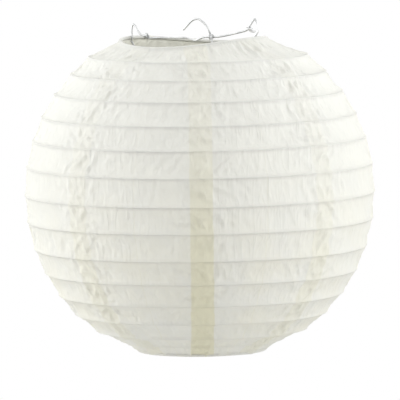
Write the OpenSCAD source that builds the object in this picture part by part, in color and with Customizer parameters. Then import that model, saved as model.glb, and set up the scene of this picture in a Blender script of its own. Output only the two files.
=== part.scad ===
// Accordion paper lantern: a round paper shade glued over fourteen wire hoops and two end rings,
// held open by a sprung wire expander and hung from a loose wire hook.
// Millimetres, +Z up. The origin is the inside of the hook, where the lantern hangs.
// X runs along the crossbar. Every bent wire lies in the XZ plane.

/* [Shade] */
// Diameter of the shade at its widest hoop
shade_d = 300; // [280:5:320]
// Thickness of the paper
paper_t = 0.3; // [0.2:0.05:0.4]
// How far each paper panel bows inward between its hoops
panel_bow = 1.2; // [0.4:0.1:2]
// Diameter of the wire in the hoops between the two end rings
hoop_wire_d = 1.4; // [1:0.1:1.6]

/* [Top ring] */
// Tilt of the top ring along the crossbar, in degrees
ring_tilt = 1; // [0:0.1:3]
// Lean of the top ring across the crossbar, in degrees; it is lower at the back
ring_lean = 0.9; // [0:0.1:2]
// How far the top ring rises at the ears and sags between them
ring_bow = 3.2; // [0:0.1:4]

/* [Wire frame] */
// Diameter of the wire in the expander, the crossbar, the hook and the two end rings
frame_wire_d = 1.8; // [1.6:0.1:2]
// Radial clearance of the hook's eye on the crossbar
eye_clearance = 0.08; // [0.05:0.01:0.1]

/* [Hidden] */
last = 15;                 // index of the bottom ring; 0 is the top ring
function two_digits(i) = str(i < 10 ? "0" : "", i);

shade_r = shade_d / 2;
// Latitude of each hoop seen from the middle of the shade, and how far out it stands in shade radii
hoop_lats = [
    64.2, 51.4, 43.2, 34.7, 26.1, 17.8, 8.9, -0.4,
    -9.2, -18.5, -27, -35.8, -44, -52.7, -61.3, -68.2
];
hoop_outs = [0.98, 1, 1, 1, 1, 1, 1, 1, 1, 1, 1, 1, 1, 0.993, 0.968, 0.98];
glue_gap = 0.2;            // between a hoop and the paper over it
end_gap = 0.15;            // between a panel's edge and the plane of its hoop
ring_drop = 3.75;          // how far the top ring has sunk below the ball shape
shade_z = -0.98 * shade_r;

wire_r = frame_wire_d / 2;
ring_x = -4.4;             // the top ring sits a little to the open ear's side
ring_r = hoop_r(0);
ring_z = hoop_z(0) - ring_drop;
ring_wire_r = ring_r - paper_t - glue_gap - wire_r;
bottom_wire_r = wire_polar(last) * cos(hoop_lats[last]);
leg_r = bottom_wire_r - 4.2;   // the legs run down inside the bottom ring
leg_top_z = ring_z - 31;       // below here the legs are straight
shoulder = 5.2;                // height of the legs' shoulders over the bottom ring
wire_sides = 10;
ring_steps = 72;

// Crossbar and hook
eye = [13.2, 0, -14.2];
eye_r = 2 * wire_r + eye_clearance;
left_hold = [ring_x - ring_wire_r + 2 * wire_r + 0.05, 0, ring_height(180)];
right_hold = [ring_x + ring_wire_r - 2 * wire_r - 0.05, 0, ring_height(0)];
ear_left = [[0, 1.2], [-0.5, 6], [0.4, 11.2], [1.8, 11.6], [4, 9.8], [6.2, 5.6], [8.8, 2.2], [16.6, 1.8]];
ear_right = [
    [0, 1.2], [-1.6, 3.4], [-3.4, 6], [-2.8, 9.6], [-1.6, 14.4], [0.2, 16.8], [2, 14.6], [4.9, 10.6],
    [5.3, 7.4], [4.6, 5.6], [-0.2, 5.7]
];
left_grip = left_hold + [14.2, 0, 1.93];    // where the crossbar's ends wrap round the ears
right_grip = right_hold + [-5.15, 0, 8.4];
grip_r = 2 * wire_r + 0.12;
bar_r = wire_r - 0.01;     // so that the bar's bent ends lie inside its round middle
bar_path = [
    left_grip + [0.15, 0, 0.25 - grip_r], left_grip + [4, 0, 0.1 - grip_r], [-38, 0, -15.6], [-13, 0, -15],
    [-7.4, 0, -15.9], [-2.4, 0, -17.9], [2, 0, -15.8], [6, 0, eye[2]], [eye[0] - 3, 0, eye[2]]
];
bar_path_right = [
    [eye[0] + 3, 0, eye[2]], [19, 0, eye[2]], [30.5, 0, -12], [41, 0, -9.6], [47, 0, -8.2],
    right_grip - [grip_r + 0.15, 0, 0.25]
];
hook_path = [
    [-14.3, 0, -8.5], [-12, 0, -6.6], [-6.6, 0, -1], [-2.2, 0, wire_r + 0.25], [1.6, 0, wire_r + 0.25],
    [5.6, 0, -1.6], [9.3, 0, -5], [11.6, 0, -8.8], [eye[0], 0, eye[2] + eye_r]
];

function unit(v) = v / norm(v);
function hoop_polar(i) = hoop_outs[i] * shade_r;
function hoop_r(i) = hoop_polar(i) * cos(hoop_lats[i]);
function hoop_z(i) = shade_z + hoop_polar(i) * sin(hoop_lats[i]);
function wire_d(i) = i == last ? frame_wire_d : hoop_wire_d;

// Polar radius of the middle of a hoop's wire, which lies straight under the paper
function wire_polar(i) = hoop_polar(i) - paper_t - glue_gap - wire_d(i) / 2;

// Height of the bent top ring at an angle around it
function ring_height(a) =
    ring_z + ring_bow * cos(2 * a) + ring_wire_r * (sin(ring_tilt) * cos(a) - sin(ring_lean) * sin(a));
function ring_point(a, r) = [ring_x + r * cos(a), r * sin(a), ring_height(a)];

// Corner cutting, which rounds the bends of a wire and keeps its ends
function cut_corners(p, n) =
    n == 0 ? p : cut_corners(concat(
        [p[0]],
        [for (i = [1:len(p) - 2]) each [p[i] * 0.75 + p[i - 1] * 0.25, p[i] * 0.75 + p[i + 1] * 0.25]],
        [p[len(p) - 1]]
    ), n - 1);

// Faces of a tube of n rings with k corners each, open with end caps or closed into a loop
function tube_faces(n, k, closed) = concat(
    [for (i = [0:n - (closed ? 1 : 2)], j = [0:k - 1]) each [
        [i * k + j, ((i + 1) % n) * k + (j + 1) % k, ((i + 1) % n) * k + j],
        [i * k + j, i * k + (j + 1) % k, ((i + 1) % n) * k + (j + 1) % k]
    ]],
    closed ? [] : [[for (j = [k - 1:-1:0]) j], [for (j = [0:k - 1]) (n - 1) * k + j]]
);

// A bent wire in the XZ plane
module bent_wire(path, r = wire_r) {
    p = cut_corners(path, 2);
    n = len(p);
    points = [for (i = [0:n - 1])
        let (t = unit(p[min(i + 1, n - 1)] - p[max(i - 1, 0)]), side = [-t[2], 0, t[0]])
        for (j = [0:wire_sides - 1])
            let (a = 360 * j / wire_sides)
            p[i] + r * (cos(a) * side + sin(a) * [0, 1, 0])
    ];
    polyhedron(points, tube_faces(n, wire_sides, false), convexity = 6);
}

// One turn of wire round a wire that runs along the direction (dx, dz)
module wrap(at, dx, dz) {
    translate(at)
        rotate([0, atan2(dx, dz), 0])
            rotate_extrude($fn = 48)
                translate([grip_r, 0])
                    circle(r = wire_r, $fn = 24);
}

function leg_path(side, hold, ear) = let (
    foot_x = side * bottom_wire_r,
    leg_x = side * leg_r,
    bottom_z = shade_z + wire_polar(last) * sin(hoop_lats[last])
) concat(
    [for (i = [len(ear) - 1:-1:0]) hold + [-side * ear[i][0], 0, ear[i][1]]],
    [
        hold - [0, 0, 1.2], hold + [side * 1.3, 0, -2.6], hold + [-side * 0.6, 0, -4.6],
        [leg_x + side * 1.5, 0, leg_top_z + 3], [leg_x, 0, leg_top_z - 4], [leg_x, 0, bottom_z + 16],
        [foot_x + side * 2.4, 0, bottom_z + shoulder], [foot_x - side * 4.2, 0, bottom_z - 1],
        [foot_x - side * 5, 0, bottom_z - 3]
    ]
);

module hanging_hook() {
    color("silver") {
        bent_wire(hook_path);
        translate(eye)
            rotate([0, 90, 0])
                rotate_extrude($fn = 48)
                    translate([eye_r, 0])
                        circle(r = wire_r, $fn = 24);
        translate(eye + [0, 0, -eye_r - 5])
            cylinder(r = wire_r, h = 5, $fn = 24);
    }
}

module crossbar() {
    color("silver") {
        bent_wire(bar_path, bar_r);
        translate([eye[0] - 3.5, 0, eye[2]])
            rotate([0, 90, 0])
                cylinder(r = wire_r, h = 7, $fn = 48);
        bent_wire(bar_path_right, bar_r);
        wrap(left_grip, 1, 0);
        wrap(right_grip, 0, 1);
    }
}

module expander_wire() {
    right_side = leg_path(1, right_hold, ear_right);
    left_side = leg_path(-1, left_hold, ear_left);
    color("gray")
        bent_wire(concat(right_side, [for (i = [len(left_side) - 1:-1:0]) left_side[i]]));
}

module top_ring() {
    points = [for (i = [0:ring_steps - 1], j = [0:wire_sides - 1])
        let (a = 360 * i / ring_steps, b = 360 * j / wire_sides)
        ring_point(a, ring_wire_r + wire_r * cos(b)) + [0, 0, wire_r * sin(b)]
    ];
    color("silver")
        polyhedron(points, tube_faces(ring_steps, wire_sides, true), convexity = 6);
}

// A round hoop of shade wire; the last one is the heavier bottom ring
module hoop(i) {
    color("gainsboro")
        translate([0, 0, shade_z + wire_polar(i) * sin(hoop_lats[i])])
            rotate_extrude($fn = 120)
                translate([wire_polar(i) * cos(hoop_lats[i]), 0])
                    circle(d = wire_d(i), $fn = 24);
}

// Points of a panel's section, from its upper hoop to its lower one, at a depth under its face
function panel_line(i, depth) = let (
    a = [hoop_r(i - 1), hoop_z(i - 1)],
    b = [hoop_r(i), hoop_z(i)],
    along = unit(b - a),
    inward = [along[1], -along[0]],
    skip = end_gap / norm(b - a)
) [for (k = [0:6])
    let (s = skip + (1 - 2 * skip) * k / 6)
    a + (b - a) * s + inward * (depth + panel_bow * 4 * s * (1 - s))
];

// A band of paper between two round hoops
module paper_panel(i) {
    outer = panel_line(i, 0);
    inner = panel_line(i, paper_t);
    color("ivory")
        rotate_extrude($fn = 120)
            polygon(concat(outer, [for (k = [len(inner) - 1:-1:0]) inner[k]]));
}

// The first band of paper runs from the bent top ring down to the first round hoop
module top_panel() {
    middle = [0, 0, shade_z];
    points = [for (i = [0:ring_steps - 1])
        let (
            a = 360 * i / ring_steps,
            up = ring_point(a, ring_r),
            low = [hoop_r(1) * cos(a), hoop_r(1) * sin(a), hoop_z(1)],
            skip = end_gap / norm(low - up),
            outer = [for (s = [1 - skip, 0.5, skip])
                let (p = up + (low - up) * s)
                p - panel_bow * 4 * s * (1 - s) * unit(p - middle)]
        )
        each concat(outer, [for (k = [2, 1, 0]) outer[k] - paper_t * unit(outer[k] - middle)])
    ];
    color("ivory")
        polyhedron(points, tube_faces(ring_steps, 6, true), convexity = 6);
}

hanging_hook();
crossbar();
expander_wire();
top_ring();
for (i = [1:last - 1])
    hoop(i);
hoop(last);  // bottom_ring
top_panel();  // paper_panel_01
for (i = [2:last])
    paper_panel(i);
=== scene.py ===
import math

import bpy
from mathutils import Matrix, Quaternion, Vector


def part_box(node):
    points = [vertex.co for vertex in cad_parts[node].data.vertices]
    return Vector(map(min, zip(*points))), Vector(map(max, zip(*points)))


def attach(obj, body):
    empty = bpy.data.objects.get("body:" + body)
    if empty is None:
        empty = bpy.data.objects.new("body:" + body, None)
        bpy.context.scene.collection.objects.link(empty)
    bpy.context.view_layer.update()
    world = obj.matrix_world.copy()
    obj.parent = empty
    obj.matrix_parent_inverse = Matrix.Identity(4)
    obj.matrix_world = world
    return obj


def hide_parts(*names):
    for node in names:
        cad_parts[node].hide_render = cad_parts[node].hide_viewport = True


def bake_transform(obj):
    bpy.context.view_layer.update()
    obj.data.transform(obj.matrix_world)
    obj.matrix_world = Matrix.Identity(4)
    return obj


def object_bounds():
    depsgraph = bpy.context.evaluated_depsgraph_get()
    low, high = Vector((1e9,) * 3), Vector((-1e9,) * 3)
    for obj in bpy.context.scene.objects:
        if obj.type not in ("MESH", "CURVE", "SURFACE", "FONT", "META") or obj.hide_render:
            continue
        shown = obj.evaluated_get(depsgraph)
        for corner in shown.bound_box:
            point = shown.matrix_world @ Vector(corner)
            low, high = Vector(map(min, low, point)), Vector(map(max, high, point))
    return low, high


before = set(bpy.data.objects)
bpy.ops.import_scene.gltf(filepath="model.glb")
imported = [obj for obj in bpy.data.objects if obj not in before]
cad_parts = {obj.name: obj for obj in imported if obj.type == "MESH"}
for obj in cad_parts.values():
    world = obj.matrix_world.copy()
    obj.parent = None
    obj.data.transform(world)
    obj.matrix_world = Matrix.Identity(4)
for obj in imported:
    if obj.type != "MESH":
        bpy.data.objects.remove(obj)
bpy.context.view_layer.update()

hoopNames = ["top_ring"] + [f"hoop_{i:02d}" for i in range(1, 15)] + ["bottom_ring"]


def hoopPlace(name):
    # height and outer radius of a hoop's wire
    low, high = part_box(name)
    return (low[2] + high[2]) / 2, (high[0] - low[0]) / 2


wire = {"radius": 0.0009, "sides": 16, "rounds": 3}
topRing = {"tilt": 1.0, "lean": 0.9, "bow": 0.0032, "steps": 240}
topRing["wireRadius"] = hoopPlace("top_ring")[1] - wire["radius"]
topRing["x"] = (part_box("top_ring")[0][0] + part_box("top_ring")[1][0]) / 2
topRing["rise"] = math.sin(math.radians(topRing["tilt"])) * topRing["wireRadius"]
topRing["fall"] = math.sin(math.radians(topRing["lean"])) * topRing["wireRadius"]
bottomZ, bottomRadius = hoopPlace("bottom_ring")
bottomWireRadius = bottomRadius - wire["radius"]
middleZ = hoopPlace("hoop_07")[0]
hoopWireRadius = 0.0007
paperOut = 0.0005    # from a hoop's wire to the paper's face


def ringBend(angle):
    across = topRing["rise"] * math.cos(angle) - topRing["fall"] * math.sin(angle)
    return topRing["bow"] * math.cos(2 * angle) + across


topRing["z"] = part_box("top_ring")[1][2] - wire["radius"] - max(ringBend(math.radians(a)) for a in range(360))


def ringHeight(angle):
    return topRing["z"] + ringBend(angle)


def paperPlace(name):
    # height and radius of the paper's face over a hoop, straight out from the middle of the shade
    z, outer = hoopPlace(name)
    thick = hoopWireRadius if name in hoopNames[1:-1] else wire["radius"]
    centre = Vector((outer - thick, z - middleZ))
    out = thick + paperOut
    if name == "top_ring":
        return z, outer + paperOut
    point = centre + centre.normalized() * out
    return point.y + middleZ, point.x


class Field:
    # a number that varies over a mesh or a surface, so that a rule in nodes reads as a sum
    def __init__(self, tree, socket):
        self.tree = tree
        self.socket = socket

    def op(self, operation, *others):
        node = self.tree.nodes.new("ShaderNodeMath")
        node.operation = operation
        for slot, value in zip(node.inputs, (self,) + others):
            if isinstance(value, Field):
                self.tree.links.new(value.socket, slot)
            else:
                slot.default_value = value
        return Field(self.tree, node.outputs[0])

    def __add__(self, other):
        return self.op("ADD", other)

    def __sub__(self, other):
        return self.op("SUBTRACT", other)

    def __mul__(self, other):
        return self.op("MULTIPLY", other)

    def __truediv__(self, other):
        return self.op("DIVIDE", other)

    def __rsub__(self, other):
        return self.op("MULTIPLY", -1.0) + other


def length(*parts):
    total = parts[0] * parts[0]
    for part in parts[1:]:
        total = total + part * part
    return total.op("SQRT")


def vector(tree, x, y, z):
    node = tree.nodes.new("ShaderNodeCombineXYZ")
    for slot, value in zip(node.inputs, (x, y, z)):
        if isinstance(value, Field):
            tree.links.new(value.socket, slot)
        else:
            slot.default_value = value
    return node.outputs[0]


def noise(tree, place, scale=1.0, detail=2.0, roughness=0.5):
    node = tree.nodes.new("ShaderNodeTexNoise")
    tree.links.new(place, node.inputs["Vector"])
    node.inputs["Scale"].default_value = scale
    node.inputs["Detail"].default_value = detail
    node.inputs["Roughness"].default_value = roughness
    return Field(tree, node.outputs[0])


def newTree(name, inputs):
    tree = bpy.data.node_groups.new(name, "GeometryNodeTree")
    tree.interface.new_socket("Geometry", in_out="INPUT", socket_type="NodeSocketGeometry")
    for label, kind in inputs.items():
        tree.interface.new_socket(label, in_out="INPUT", socket_type="NodeSocket" + kind)
    tree.interface.new_socket("Geometry", in_out="OUTPUT", socket_type="NodeSocketGeometry")
    return tree, tree.nodes.new("NodeGroupInput"), tree.nodes.new("NodeGroupOutput")


def finishTree(tree, start, end, socket):
    # what every tree ends in
    smooth = tree.nodes.new("GeometryNodeSetShadeSmooth")
    real = tree.nodes.new("GeometryNodeRealizeInstances")
    paint = tree.nodes.new("GeometryNodeSetMaterial")
    tree.links.new(socket, smooth.inputs["Geometry"])
    tree.links.new(smooth.outputs[0], real.inputs[0])
    tree.links.new(real.outputs[0], paint.inputs["Geometry"])
    tree.links.new(start.outputs["Material"], paint.inputs["Material"])
    tree.links.new(paint.outputs[0], end.inputs[0])


def grow(name, tree, values, vertices=((0, 0, 0),), edges=(), wall=0.0):
    # runs a tree with these input values and returns what it makes as a plain mesh object
    seed = bpy.data.meshes.new(name + "Seed")
    seed.from_pydata(list(vertices), list(edges), [])
    holder = bpy.data.objects.new(name + "Holder", seed)
    bpy.context.scene.collection.objects.link(holder)
    modifier = holder.modifiers.new("shape", "NODES")
    modifier.node_group = tree
    for item in tree.interface.items_tree:
        if item.in_out == "INPUT" and item.name in values:
            modifier[item.identifier] = values[item.name]
    if wall:
        thick = holder.modifiers.new("wall", "SOLIDIFY")
        thick.thickness = wall
        thick.offset = -1.0
    graph = bpy.context.evaluated_depsgraph_get()
    mesh = bpy.data.meshes.new_from_object(holder.evaluated_get(graph), depsgraph=graph)
    bpy.data.objects.remove(holder)
    piece = bpy.data.objects.new(name, mesh)
    bpy.context.scene.collection.objects.link(piece)
    return piece


def newMaterial(name):
    material = bpy.data.materials.new(name)
    material.use_nodes = True
    tree = material.node_tree
    tree.nodes.clear()
    return material, tree, tree.nodes.new("ShaderNodeOutputMaterial")


def objectPlace(tree):
    return tree.nodes.new("ShaderNodeTexCoord").outputs["Object"]


def mixColour(tree, share, first, second):
    node = tree.nodes.new("ShaderNodeMix")
    node.data_type = "RGBA"
    tree.links.new(share.socket, node.inputs[0])
    for slot, value in ((node.inputs[6], first), (node.inputs[7], second)):
        if isinstance(value, tuple):
            slot.default_value = value + (1.0,)
        else:
            tree.links.new(value, slot)
    return node.outputs[2]


def stretched(tree, place, scale):
    node = tree.nodes.new("ShaderNodeMapping")
    tree.links.new(place, node.inputs["Vector"])
    node.inputs["Scale"].default_value = scale
    return node.outputs[0]


def ramp(field, low, high):
    node = field.tree.nodes.new("ShaderNodeMapRange")
    node.interpolation_type = "SMOOTHSTEP"
    field.tree.links.new(field.socket, node.inputs["Value"])
    for slot, value in ((node.inputs["From Min"], low), (node.inputs["From Max"], high)):
        if isinstance(value, Field):
            field.tree.links.new(value.socket, slot)
        else:
            slot.default_value = value
    return Field(field.tree, node.outputs[0])


def bump(tree, height, strength, distance):
    node = tree.nodes.new("ShaderNodeBump")
    node.inputs["Strength"].default_value = strength
    node.inputs["Distance"].default_value = distance
    tree.links.new(height.socket, node.inputs["Height"])
    return node.outputs[0]


paperLook = {
    "face": (0.79, 0.791, 0.771),
    "face2": (0.76, 0.759, 0.736),
    "shadedBottomFace": (0.775, 0.764, 0.705),
    "lap": (0.78, 0.776, 0.735),
    "shadedBottomLap": (0.752, 0.734, 0.61),
    "glow": (0.833, 0.828, 0.785),
    "glowLap": (0.822, 0.811, 0.75),
    "shadedBottomLapGlow": (0.768, 0.75, 0.635),
    "throughShare": 0.5,
    "shadeTop": -0.04, "shadeBottom": -0.24,    # painted shade: the paper, its laps and their glow are painted darker and warmer from the upper height down to the lower
    "lapHalf": 0.0098,        # half the width of a glued lap between two gores
    "shadedLapFacing": -59.5,        # the direction, in degrees, where the laps are painted darkest; it faces the camera, so this is painted shade over the laps' real doubled paper
    "faintShare": 0.3,        # how strongly the other laps show beside it
    "facingFrom": 0.75, "facingTo": 0.95,
    "edgeScale": 60, "edgeWander": 0.0025, "edgeSoft": 0.0006,
    "cloudScale": 28, "fibreScale": 420, "wrinkleScale": 130,
    "lineScale": 190, "lineWidth": 0.12,
    "bumpStrength": 0.85, "bumpDistance": 0.0009,
}


def paperMaterial():
    material, tree, out = newMaterial("washiPaper")
    place = objectPlace(tree)
    seam = tree.nodes.new("ShaderNodeAttribute")
    seam.attribute_name = "lapDistance"
    distance = Field(tree, seam.outputs["Fac"]).op("ABSOLUTE")
    wander = paperLook["edgeWander"]
    ragged = noise(tree, place, paperLook["edgeScale"], 2) * wander + distance - wander / 2
    half, soft = paperLook["lapHalf"], paperLook["edgeSoft"]
    apart = tree.nodes.new("ShaderNodeSeparateXYZ")
    tree.links.new(place, apart.inputs[0])
    x, y = Field(tree, apart.outputs[0]), Field(tree, apart.outputs[1])
    # painted shade: a lap shows at full strength where it faces the camera's side and fades to the faint share
    # round the sides; the lap's own tone is the real doubled paper
    shadedSide = math.radians(paperLook["shadedLapFacing"])
    facing = (x * math.cos(shadedSide) + y * math.sin(shadedSide)) / length(x, y)
    faint = paperLook["faintShare"]
    strength = ramp(facing, paperLook["facingFrom"], paperLook["facingTo"]) * (1.0 - faint) + faint
    lap = (1.0 - ramp(ragged, half - soft, half + soft)) * strength
    cloud = noise(tree, place, paperLook["cloudScale"], 4, 0.6)
    fibres = noise(tree, stretched(tree, place, (1, 1, 0.35)), paperLook["fibreScale"], 3, 0.65)
    mottle = ramp(cloud * 0.65 + fibres * 0.35, 0.35, 0.65)
    # painted shade: below the upper height the paper's colours are mixed into darker, warmer ones
    low = ramp(Field(tree, apart.outputs[2]), paperLook["shadeBottom"], paperLook["shadeTop"])
    lapFace = mixColour(tree, low, paperLook["shadedBottomLap"], paperLook["lap"])
    plain = mixColour(tree, low, paperLook["shadedBottomFace"], paperLook["face"])
    face = mixColour(tree, lap, mixColour(tree, mottle, paperLook["face2"], plain), lapFace)
    lapGlow = mixColour(tree, low, paperLook["shadedBottomLapGlow"], paperLook["glowLap"])
    glow = mixColour(tree, lap, paperLook["glow"], lapGlow)
    wrinkle = noise(tree, stretched(tree, place, (1, 1, 0.3)), paperLook["wrinkleScale"], 3, 0.55)
    thin = noise(tree, stretched(tree, place, (1, 1, 0.1)), paperLook["lineScale"], 1, 0.5)
    lines = 1.0 - ramp((thin - 0.5).op("ABSOLUTE"), 0.0, paperLook["lineWidth"])
    height = wrinkle * 0.9 + fibres * 0.25 + lines * 0.3
    normal = bump(tree, height, paperLook["bumpStrength"], paperLook["bumpDistance"])
    front = tree.nodes.new("ShaderNodeBsdfDiffuse")
    through = tree.nodes.new("ShaderNodeBsdfTranslucent")
    both = tree.nodes.new("ShaderNodeMixShader")
    both.inputs[0].default_value = paperLook["throughShare"]
    tree.links.new(face, front.inputs["Color"])
    tree.links.new(glow, through.inputs["Color"])
    tree.links.new(normal, front.inputs["Normal"])
    tree.links.new(front.outputs[0], both.inputs[1])
    tree.links.new(through.outputs[0], both.inputs[2])
    tree.links.new(both.outputs[0], out.inputs["Surface"])
    return material


wireLook = {
    "dark": (0.4, 0.405, 0.405), "light": (0.64, 0.64, 0.64),
    "hoopDark": (0.42, 0.41, 0.39), "hoopLight": (0.6, 0.6, 0.57),
    "drawnScale": 900, "patchScale": 90,
    "metallic": 0.65, "roughLow": 0.42, "roughHigh": 0.6,
    "bumpStrength": 0.25, "bumpDistance": 0.0001,
}


def wireMaterial(name, dark, light):
    material, tree, out = newMaterial(name)
    place = objectPlace(tree)
    drawn = noise(tree, place, wireLook["drawnScale"], 3, 0.6)
    patches = noise(tree, place, wireLook["patchScale"], 2)
    colour = mixColour(tree, ramp(patches * 0.7 + drawn * 0.3, 0.35, 0.65), dark, light)
    metal = tree.nodes.new("ShaderNodeBsdfPrincipled")
    metal.inputs["Metallic"].default_value = wireLook["metallic"]
    low, high = wireLook["roughLow"], wireLook["roughHigh"]
    rough = patches * (high - low) + low
    tree.links.new(colour, metal.inputs["Base Color"])
    tree.links.new(rough.socket, metal.inputs["Roughness"])
    normal = bump(tree, drawn, wireLook["bumpStrength"], wireLook["bumpDistance"])
    tree.links.new(normal, metal.inputs["Normal"])
    tree.links.new(metal.outputs[0], out.inputs["Surface"])
    return material


paper = paperMaterial()
steel = wireMaterial("galvanisedWire", wireLook["dark"], wireLook["light"])
hoopSteel = wireMaterial("hoopWire", wireLook["hoopDark"], wireLook["hoopLight"])
print("materials made")


band = {
    "columns": 720, "rows": 18,
    "wall": 0.00022,
    "bead": 0.0009,           # height of the ridge where the paper goes over a hoop
    "topBead": 0.0012,
    "beadWidth": 0.0011,
    "sag": 0.0018,
    "crinkle": 0.0008, "crinkleWidth": 0.0048,
    "crease": 0.0011, "creaseWidth": 0.016,
    "swell": 0.0016, "swellWidth": 0.05,
    "lapStep": 0.0002, "lapEdgeOut": 0.0012, "lapEdgeIn": 0.0004,
    "nearWidth": 0.026,       # how far from a lap the paper is crumpled more
    "crinkleNear": 1.3, "crinklePlain": 0.8,
    "creaseNear": 1.6, "creasePlain": 0.35, "creaseSharp": 9.0,
    "hollowPower": 0.6,
    "frontLap": -59.5,        # where the first lap stands round the shade, in degrees
    "gores": 8,
    "merge": 1e-6,
}


def bandTree():
    labels = (
        "Upper Radius", "Upper Height", "Lower Radius", "Lower Height", "Upper Shift", "Upper Bow",
        "Upper Tilt", "Upper Lean", "Middle Height", "Upper Bead", "Lower Bead", "Bead Width", "Sag",
        "Crinkle", "Crinkle Width", "Crease", "Crease Width", "Swell", "Swell Width", "First Lap",
        "Lap Angle", "Lap Half", "Lap Step", "Seed",
    )
    inputs = {label: "Float" for label in labels}
    inputs.update({"Columns": "Int", "Rows": "Int", "Material": "Material"})
    tree, start, end = newTree("paperBand", inputs)
    given = {label: Field(tree, start.outputs[label]) for label in labels}
    grid = tree.nodes.new("GeometryNodeMeshGrid")
    tree.links.new(start.outputs["Columns"], grid.inputs["Vertices X"])
    tree.links.new(start.outputs["Rows"], grid.inputs["Vertices Y"])
    apart = tree.nodes.new("ShaderNodeSeparateXYZ")
    tree.links.new(tree.nodes.new("GeometryNodeInputPosition").outputs[0], apart.inputs[0])
    angle = (Field(tree, apart.outputs[0]) + 0.5) * math.tau
    down = (1.0 - ((0.5 - Field(tree, apart.outputs[1])) * math.pi).op("COSINE")) * 0.5

    # from the upper hoop straight to the lower one
    cosine, sine = angle.op("COSINE"), angle.op("SINE")
    upper = (
        cosine * given["Upper Radius"] + given["Upper Shift"],
        sine * given["Upper Radius"],
        given["Upper Height"] + given["Upper Bow"] * (angle * 2.0).op("COSINE")
        + given["Upper Tilt"] * cosine - given["Upper Lean"] * sine,
    )
    lower = (cosine * given["Lower Radius"], sine * given["Lower Radius"], given["Lower Height"])
    across = [b - a for a, b in zip(upper, lower)]
    point = [a + c * down for a, c in zip(upper, across)]
    outward = [point[0], point[1], point[2] - given["Middle Height"]]
    size = length(*outward)
    outward = [part / size for part in outward]

    # the ridge over each hoop, the hollow between them and the crumpling, which grows towards the laps
    edge = down.op("MINIMUM", 1.0 - down) * length(*across) / given["Bead Width"]
    bead = given["Upper Bead"] + (given["Lower Bead"] - given["Upper Bead"]) * down
    ridge = bead * (edge * edge * -1.0).op("EXPONENT")
    inside = down * (1.0 - down) * 4.0
    lapAngle = (angle - given["First Lap"]).op("WRAP", given["Lap Angle"] * 0.5, given["Lap Angle"] * -0.5)
    lap = lapAngle * length(point[0], point[1])
    share = lap / band["nearWidth"]
    near = (share * share * -1.0).op("EXPONENT")
    half = given["Lap Half"]
    step = ramp(lap.op("ABSOLUTE"), half + band["lapEdgeOut"], half - band["lapEdgeIn"])
    fine = given["Lower Radius"] / given["Crinkle Width"]
    seed = given["Seed"]
    crinkle = noise(tree, vector(tree, cosine * fine, sine * fine, down * 1.1 + seed * 3.17), 1.0, 2.0)
    slant = angle + down * 0.1 * (seed * 2.3).op("SINE")
    wide = given["Lower Radius"] / given["Crease Width"]
    folds = noise(tree, vector(
        tree, slant.op("COSINE") * wide, slant.op("SINE") * wide, down * 1.3 + seed * 7.71), 1.0, 3.0)
    folds = (1.0 - ((folds - 0.5).op("ABSOLUTE") * band["creaseSharp"])).op("MAXIMUM", 0.0)
    broad = given["Lower Radius"] / given["Swell Width"]
    swell = noise(tree, vector(
        tree, cosine * broad, sine * broad, down * 0.5 + seed * 1.37), 1.0, 1.0)
    shallow = inside.op("POWER", band["hollowPower"])
    lift = (
        ridge - bead - given["Sag"] * inside + given["Lap Step"] * step
        + shallow * given["Crinkle"] * (crinkle - 0.5) * (near * band["crinkleNear"] + band["crinklePlain"])
        + shallow * given["Crease"] * folds * (near * band["creaseNear"] + band["creasePlain"])
        + inside * given["Swell"] * (swell - 0.5)
    )
    place = tree.nodes.new("GeometryNodeSetPosition")
    tree.links.new(vector(tree, *[p + n * lift for p, n in zip(point, outward)]), place.inputs["Position"])
    note = tree.nodes.new("GeometryNodeStoreNamedAttribute")
    note.data_type = "FLOAT"
    note.domain = "POINT"
    note.inputs["Name"].default_value = "lapDistance"
    merge = tree.nodes.new("GeometryNodeMergeByDistance")
    merge.inputs["Distance"].default_value = band["merge"]
    # the attribute is worked out from the flat grid, so it is stored before the grid is bent
    tree.links.new(grid.outputs["Mesh"], note.inputs["Geometry"])
    tree.links.new(lap.socket, note.inputs["Value"])
    tree.links.new(note.outputs[0], place.inputs["Geometry"])
    tree.links.new(place.outputs[0], merge.inputs["Geometry"])
    finishTree(tree, start, end, merge.outputs[0])
    return tree


def makeShade():
    tree = bandTree()
    for i in range(1, len(hoopNames)):
        upperZ, upperRadius = paperPlace(hoopNames[i - 1])
        lowerZ, lowerRadius = paperPlace(hoopNames[i])
        first = i == 1
        values = {
            "Upper Radius": upperRadius,
            "Upper Height": topRing["z"] if first else upperZ,
            "Lower Radius": lowerRadius,
            "Lower Height": lowerZ,
            "Upper Shift": topRing["x"] if first else 0.0,
            "Upper Bow": topRing["bow"] if first else 0.0,
            "Upper Tilt": topRing["rise"] if first else 0.0,
            "Upper Lean": topRing["fall"] if first else 0.0,
            "Middle Height": middleZ,
            "Upper Bead": band["topBead"] if first else band["bead"], "Lower Bead": band["bead"],
            "Bead Width": band["beadWidth"], "Sag": band["sag"],
            "Crinkle": band["crinkle"], "Crinkle Width": band["crinkleWidth"],
            "Crease": band["crease"], "Crease Width": band["creaseWidth"],
            "Swell": band["swell"], "Swell Width": band["swellWidth"],
            "Lap Half": paperLook["lapHalf"], "Lap Step": band["lapStep"],
            "First Lap": math.radians(band["frontLap"]), "Lap Angle": math.tau / band["gores"],
            "Seed": float(i), "Columns": band["columns"] + 1, "Rows": band["rows"] + 1, "Material": paper,
        }
        piece = grow(f"paperBand{i:02d}", tree, values, wall=band["wall"])
        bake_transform(piece)
        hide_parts(f"paper_panel_{i:02d}")


makeShade()
print("paper bands made")


hem = {
    "lapDistance": 0.05,      # far from any glued lap, so a hem has none
    "wrap": 0.00155, "flap": 0.003, "thick": 0.00022, "steps": 360, "wave": 0.0004, "waves": 37,
}


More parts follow.
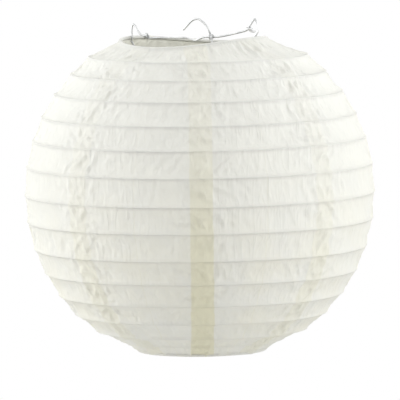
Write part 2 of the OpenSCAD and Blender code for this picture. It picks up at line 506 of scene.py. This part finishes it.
def hemProfile(slope, end):
    # (outwards, upwards) from the ring's wire: over the wire, then back under the shade's paper
    arc = [math.radians(a) for a in range(-45, 211, 15)]
    over = [(hem["wrap"] * math.cos(a), end * hem["wrap"] * math.sin(a)) for a in arc]
    corner = over[-1]
    flap = [
        (corner[0] + hem["flap"] * k / 5 * slope[0], corner[1] + hem["flap"] * k / 5 * slope[1])
        for k in range(1, 6)
    ]
    return over + flap


def makeHem(name, body, centre, slope, end):
    profile = hemProfile(slope, end)
    rows = len(profile)
    vertices, faces = [], []
    for i in range(hem["steps"]):
        angle = math.tau * i / hem["steps"]
        x, radius, z = centre(angle)
        for k, (out, up) in enumerate(profile):
            ripple = hem["wave"] * math.sin(angle * hem["waves"] + k) * max(0, k - rows + 5) / 5
            r = radius + out + ripple
            vertices.append((x + r * math.cos(angle), r * math.sin(angle), z + up))
        for k in range(rows - 1):
            a, b = i * rows + k, (i + 1) % hem["steps"] * rows + k
            faces.append((a, b, b + 1, a + 1) if end > 0 else (a, a + 1, b + 1, b))
    mesh = bpy.data.meshes.new(name)
    mesh.from_pydata(vertices, [], faces)
    mesh.polygons.foreach_set("use_smooth", [True] * len(faces))
    mesh.materials.append(paper)
    lap = mesh.attributes.new("lapDistance", "FLOAT", "POINT")
    lap.data.foreach_set("value", [hem["lapDistance"]] * len(vertices))
    piece = bpy.data.objects.new(name, mesh)
    bpy.context.scene.collection.objects.link(piece)
    wall = piece.modifiers.new("wall", "SOLIDIFY")
    wall.thickness = hem["thick"]
    wall.offset = -1.0
    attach(piece, body)


def slopeBetween(upper, lower):
    (z1, r1), (z2, r2) = hoopPlace(upper), hoopPlace(lower)
    return Vector((r2 - r1, z2 - z1)).normalized()


topSlope = slopeBetween("top_ring", "hoop_01")
makeHem(
    "topHem", "frame",
    lambda a: (topRing["x"], topRing["wireRadius"], ringHeight(a)), topSlope, 1)
lowSlope = slopeBetween("bottom_ring", "hoop_14")
makeHem("bottomHem", "bottom_ring", lambda a: (0, bottomWireRadius, bottomZ), lowSlope, -1)
print("hems made")


def wireTree():
    tree, start, end = newTree("bentWire", {"Radius": "Float", "Sides": "Int", "Material": "Material"})
    path = tree.nodes.new("GeometryNodeMeshToCurve")
    ring = tree.nodes.new("GeometryNodeCurvePrimitiveCircle")
    tube = tree.nodes.new("GeometryNodeCurveToMesh")
    tube.inputs["Fill Caps"].default_value = True
    tree.links.new(start.outputs["Geometry"], path.inputs["Mesh"])
    tree.links.new(start.outputs["Sides"], ring.inputs["Resolution"])
    tree.links.new(start.outputs["Radius"], ring.inputs["Radius"])
    tree.links.new(path.outputs[0], tube.inputs["Curve"])
    tree.links.new(ring.outputs[0], tube.inputs["Profile Curve"])
    finishTree(tree, start, end, tube.outputs[0])
    return tree


def cutCorners(points, rounds):
    for _ in range(rounds):
        rounded = [points[0]]
        for before, here, after in zip(points, points[1:], points[2:]):
            rounded += [here * 0.75 + before * 0.25, here * 0.75 + after * 0.25]
        points = rounded + [points[-1]]
    return points


bentWire = wireTree()


def makeWire(name, body, nodes, paths, material, closed=False):
    vertices, edges = [], []
    for path in paths:
        first = len(vertices)
        vertices += [tuple(p) for p in path]
        edges += [(k, k + 1) for k in range(first, len(vertices) - 1)]
        if closed:
            edges.append((len(vertices) - 1, first))
    values = {"Radius": wire["radius"], "Sides": wire["sides"], "Material": material}
    piece = grow(name, bentWire, values, vertices, edges)
    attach(piece, body)
    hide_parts(*nodes)


def mm(*places):
    return [Vector((x / 1000, y / 1000, z / 1000)) for x, y, z in places]


def ringPath():
    count = topRing["steps"]
    angles = [math.tau * i / count for i in range(count)]
    r = topRing["wireRadius"]
    return [Vector((topRing["x"] + r * math.cos(a), r * math.sin(a), ringHeight(a))) for a in angles]


def coil(at, along, turns, start, radius, pitch):
    # a wire wound round another that runs along a direction in the XZ plane
    along = Vector(along).normalized()
    side = Vector((along.z, 0, -along.x))
    across = along.cross(side)
    steps = round(turns * 24)
    points = []
    for k in range(steps + 1):
        angle = math.radians(start) + math.tau * turns * k / steps
        points.append(
            at + along * pitch * turns * (k / steps - 0.5)
            + (side * math.cos(angle) + across * math.sin(angle)) * radius
        )
    return points


earWire = {
    "left": [
        (0, 1.2), (-0.5, 6), (0.4, 11.2), (1.8, 11.6), (4, 9.8), (6.2, 5.6), (8.8, 2.2), (16.6, 1.8),
    ],
    "right": [
        (0, 1.2), (-1.6, 3.4), (-3.4, 6), (-2.8, 9.6), (-1.6, 14.4), (0.2, 16.8), (2, 14.6), (4.9, 10.6),
        (5.3, 7.4), (4.6, 5.6), (-0.2, 5.7),
    ],
    "legIn": 0.0042,          # how far the legs run inside the bottom ring's wire
    "legTop": 0.031,
    "shoulder": 0.0052,
    "inset": 0.00185,         # from the top ring's wire to the ear's
}
hold = {
    "left": Vector((topRing["x"] - topRing["wireRadius"] + earWire["inset"], 0, ringHeight(math.pi))),
    "right": Vector((topRing["x"] + topRing["wireRadius"] - earWire["inset"], 0, ringHeight(0))),
}


def legPath(key, side):
    legX = side * (bottomWireRadius - earWire["legIn"])
    footX = side * bottomWireRadius
    legTop = topRing["z"] - earWire["legTop"]
    ear = [hold[key] + Vector((-side * u / 1000, 0, w / 1000)) for u, w in reversed(earWire[key])]
    grip = [hold[key] + p for p in mm((0, 0, -1.2), (side * 1.3, 0, -2.6), (-side * 0.6, 0, -4.6))]
    leg = [
        (legX + side * 0.0015, legTop + 0.003), (legX, legTop - 0.004), (legX, bottomZ + 0.016),
        (footX + side * 0.0024, bottomZ + earWire["shoulder"]), (footX - side * 0.0042, bottomZ - 0.001),
        (footX - side * 0.005, bottomZ - 0.003),
    ]
    return ear + grip + [Vector((x, 0, z)) for x, z in leg]


crossbar = {
    "leftGrip": (0.0142, 0, 0.00193), "rightGrip": (-0.00515, 0, 0.0084),    # from where the ears stand
    "gripTurns": 1.25, "pitch": 0.0019, "clearance": 0.00008,
    "path": [
        (-46, 0, -16.4), (-38, 0, -15.6), (-13, 0, -15), (-7.4, 0, -15.9), (-2.4, 0, -17.9), (2, 0, -15.8),
        (6, 0, -14.2), (19, 0, -14.2), (30.5, 0, -12), (41, 0, -9.6), (47, 0, -8.2),
    ],
}
hookWire = {
    "eye": (0.0132, 0, -0.0142), "eyeTurns": 1.5,
    "intoEye": (-0.0002, 0, 0.0015), "tail": (0.0004, 0, -0.005),
    "path": [
        (-14.3, 0, -8.5), (-12, 0, -6.6), (-6.6, 0, -1), (-2.2, 0, 1.15), (1.6, 0, 1.15), (5.6, 0, -1.6),
        (9.3, 0, -5), (11.6, 0, -8.8),
    ],
}


def makeWires():
    turn, pitch = 2 * wire["radius"] + crossbar["clearance"], crossbar["pitch"]
    makeWire("ringWire", "frame", ["top_ring"], [ringPath()], steel, closed=True)
    expander = cutCorners(legPath("right", 1) + legPath("left", -1)[::-1], wire["rounds"])
    makeWire("expanderWire", "frame", ["expander_wire"], [expander], steel)

    leftGrip = hold["left"] + Vector(crossbar["leftGrip"])
    rightGrip = hold["right"] + Vector(crossbar["rightGrip"])
    leftCoil = coil(leftGrip, (1, 0, 0), crossbar["gripTurns"], -90, turn, pitch)
    rightCoil = coil(rightGrip, (0, 0, 1), crossbar["gripTurns"], 180, turn, pitch)
    bar = cutCorners([leftCoil[-1]] + mm(*crossbar["path"]) + [rightCoil[0]], wire["rounds"])
    bar = leftCoil[:-1] + bar + rightCoil[1:]
    makeWire("crossbarWire", "frame", ["crossbar"], [bar], steel)

    loop = coil(Vector(hookWire["eye"]), (1, 0, 0), hookWire["eyeTurns"], 90, turn, pitch)
    shank = mm(*hookWire["path"]) + [loop[0] + Vector(hookWire["intoEye"]), loop[0]]
    tail = loop[-1] + Vector(hookWire["tail"])
    hook = cutCorners(shank, wire["rounds"])
    makeWire("hookWire", "hook", ["hanging_hook"], [hook[:-1] + loop + [tail]], steel)


makeWires()
for name in hoopNames[1:]:
    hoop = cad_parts[name]
    hoop.data.materials.clear()
    hoop.data.materials.append(steel if name == "bottom_ring" else hoopSteel)
print("wires made")


studio = {
    "floorDrop": 0.9, "floorRadius": 1.6,
    "floorDark": (0.8, 0.8, 0.79), "floorLight": (0.84, 0.84, 0.83),
    "sky": 1.0, "lightColour": (0.97, 0.985, 1.0),
    "aim": (0.0, 0.0, -0.1544), "azimuth": 30.0, "elevation": 5.0, "roll": 0.8, "distance": 6.6,
    "viewWidth": 0.3428, "sensor": 36.0,
}
softLights = {
    # name: (azimuth, elevation, distance, size, watts)
    "sideLeft": (-55, 18, 1.6, 1.1, 25.0),
    "sideRight": (101, 20, 1.5, 1.1, 20.0),
    "behind": (210, 40, 1.5, 1.3, 9.0),
}


def direction(azimuth, elevation):
    a, e = math.radians(azimuth), math.radians(elevation)
    return Vector((math.sin(a) * math.cos(e), -math.cos(a) * math.cos(e), math.sin(e)))


def makeFloor():
    count = 96
    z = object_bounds()[0].z - studio["floorDrop"]
    r = studio["floorRadius"]
    rim = [(r * math.cos(math.tau * k / count), r * math.sin(math.tau * k / count), z) for k in range(count)]
    mesh = bpy.data.meshes.new("floor")
    mesh.from_pydata(rim, [], [tuple(range(count))])
    material, tree, out = newMaterial("paleFloor")
    matte = tree.nodes.new("ShaderNodeBsdfDiffuse")
    shade = ramp(noise(tree, objectPlace(tree), 3, 3), 0.3, 0.7)
    colour = mixColour(tree, shade, studio["floorDark"], studio["floorLight"])
    tree.links.new(colour, matte.inputs["Color"])
    tree.links.new(matte.outputs[0], out.inputs["Surface"])
    mesh.materials.append(material)
    floor = bpy.data.objects.new("floor", mesh)
    bpy.context.scene.collection.objects.link(floor)


def makeLights():
    world = bpy.data.worlds.new("studio")
    world.use_nodes = True
    sky = world.node_tree.nodes["Background"]
    sky.inputs["Color"].default_value = (1, 1, 1, 1)
    sky.inputs["Strength"].default_value = studio["sky"]
    bpy.context.scene.world = world
    for name, (azimuth, elevation, distance, size, watts) in softLights.items():
        light = bpy.data.lights.new(name, "AREA")
        light.size = size
        light.energy = watts
        light.color = studio["lightColour"]
        lamp = bpy.data.objects.new(name, light)
        back = direction(azimuth, elevation)
        lamp.location = Vector((0, 0, middleZ)) + back * distance
        lamp.rotation_mode = "QUATERNION"
        lamp.rotation_quaternion = (-back).to_track_quat("-Z", "Y")
        bpy.context.scene.collection.objects.link(lamp)


def makeCamera():
    data = bpy.data.cameras.new("camera")
    data.sensor_width = studio["sensor"]
    data.lens = studio["sensor"] * studio["distance"] / studio["viewWidth"]
    data.clip_start, data.clip_end = 0.1, 100
    camera = bpy.data.objects.new("camera", data)
    back = direction(studio["azimuth"], studio["elevation"])
    camera.location = Vector(studio["aim"]) + back * studio["distance"]
    camera.rotation_mode = "QUATERNION"
    level = (-back).to_track_quat("-Z", "Y")
    camera.rotation_quaternion = level @ Quaternion((0, 0, 1), math.radians(-studio["roll"]))
    bpy.context.scene.collection.objects.link(camera)
    bpy.context.scene.camera = camera


makeFloor()
makeLights()
makeCamera()
bpy.context.scene.view_settings.view_transform = "Standard"
print("floor, lights and camera made")
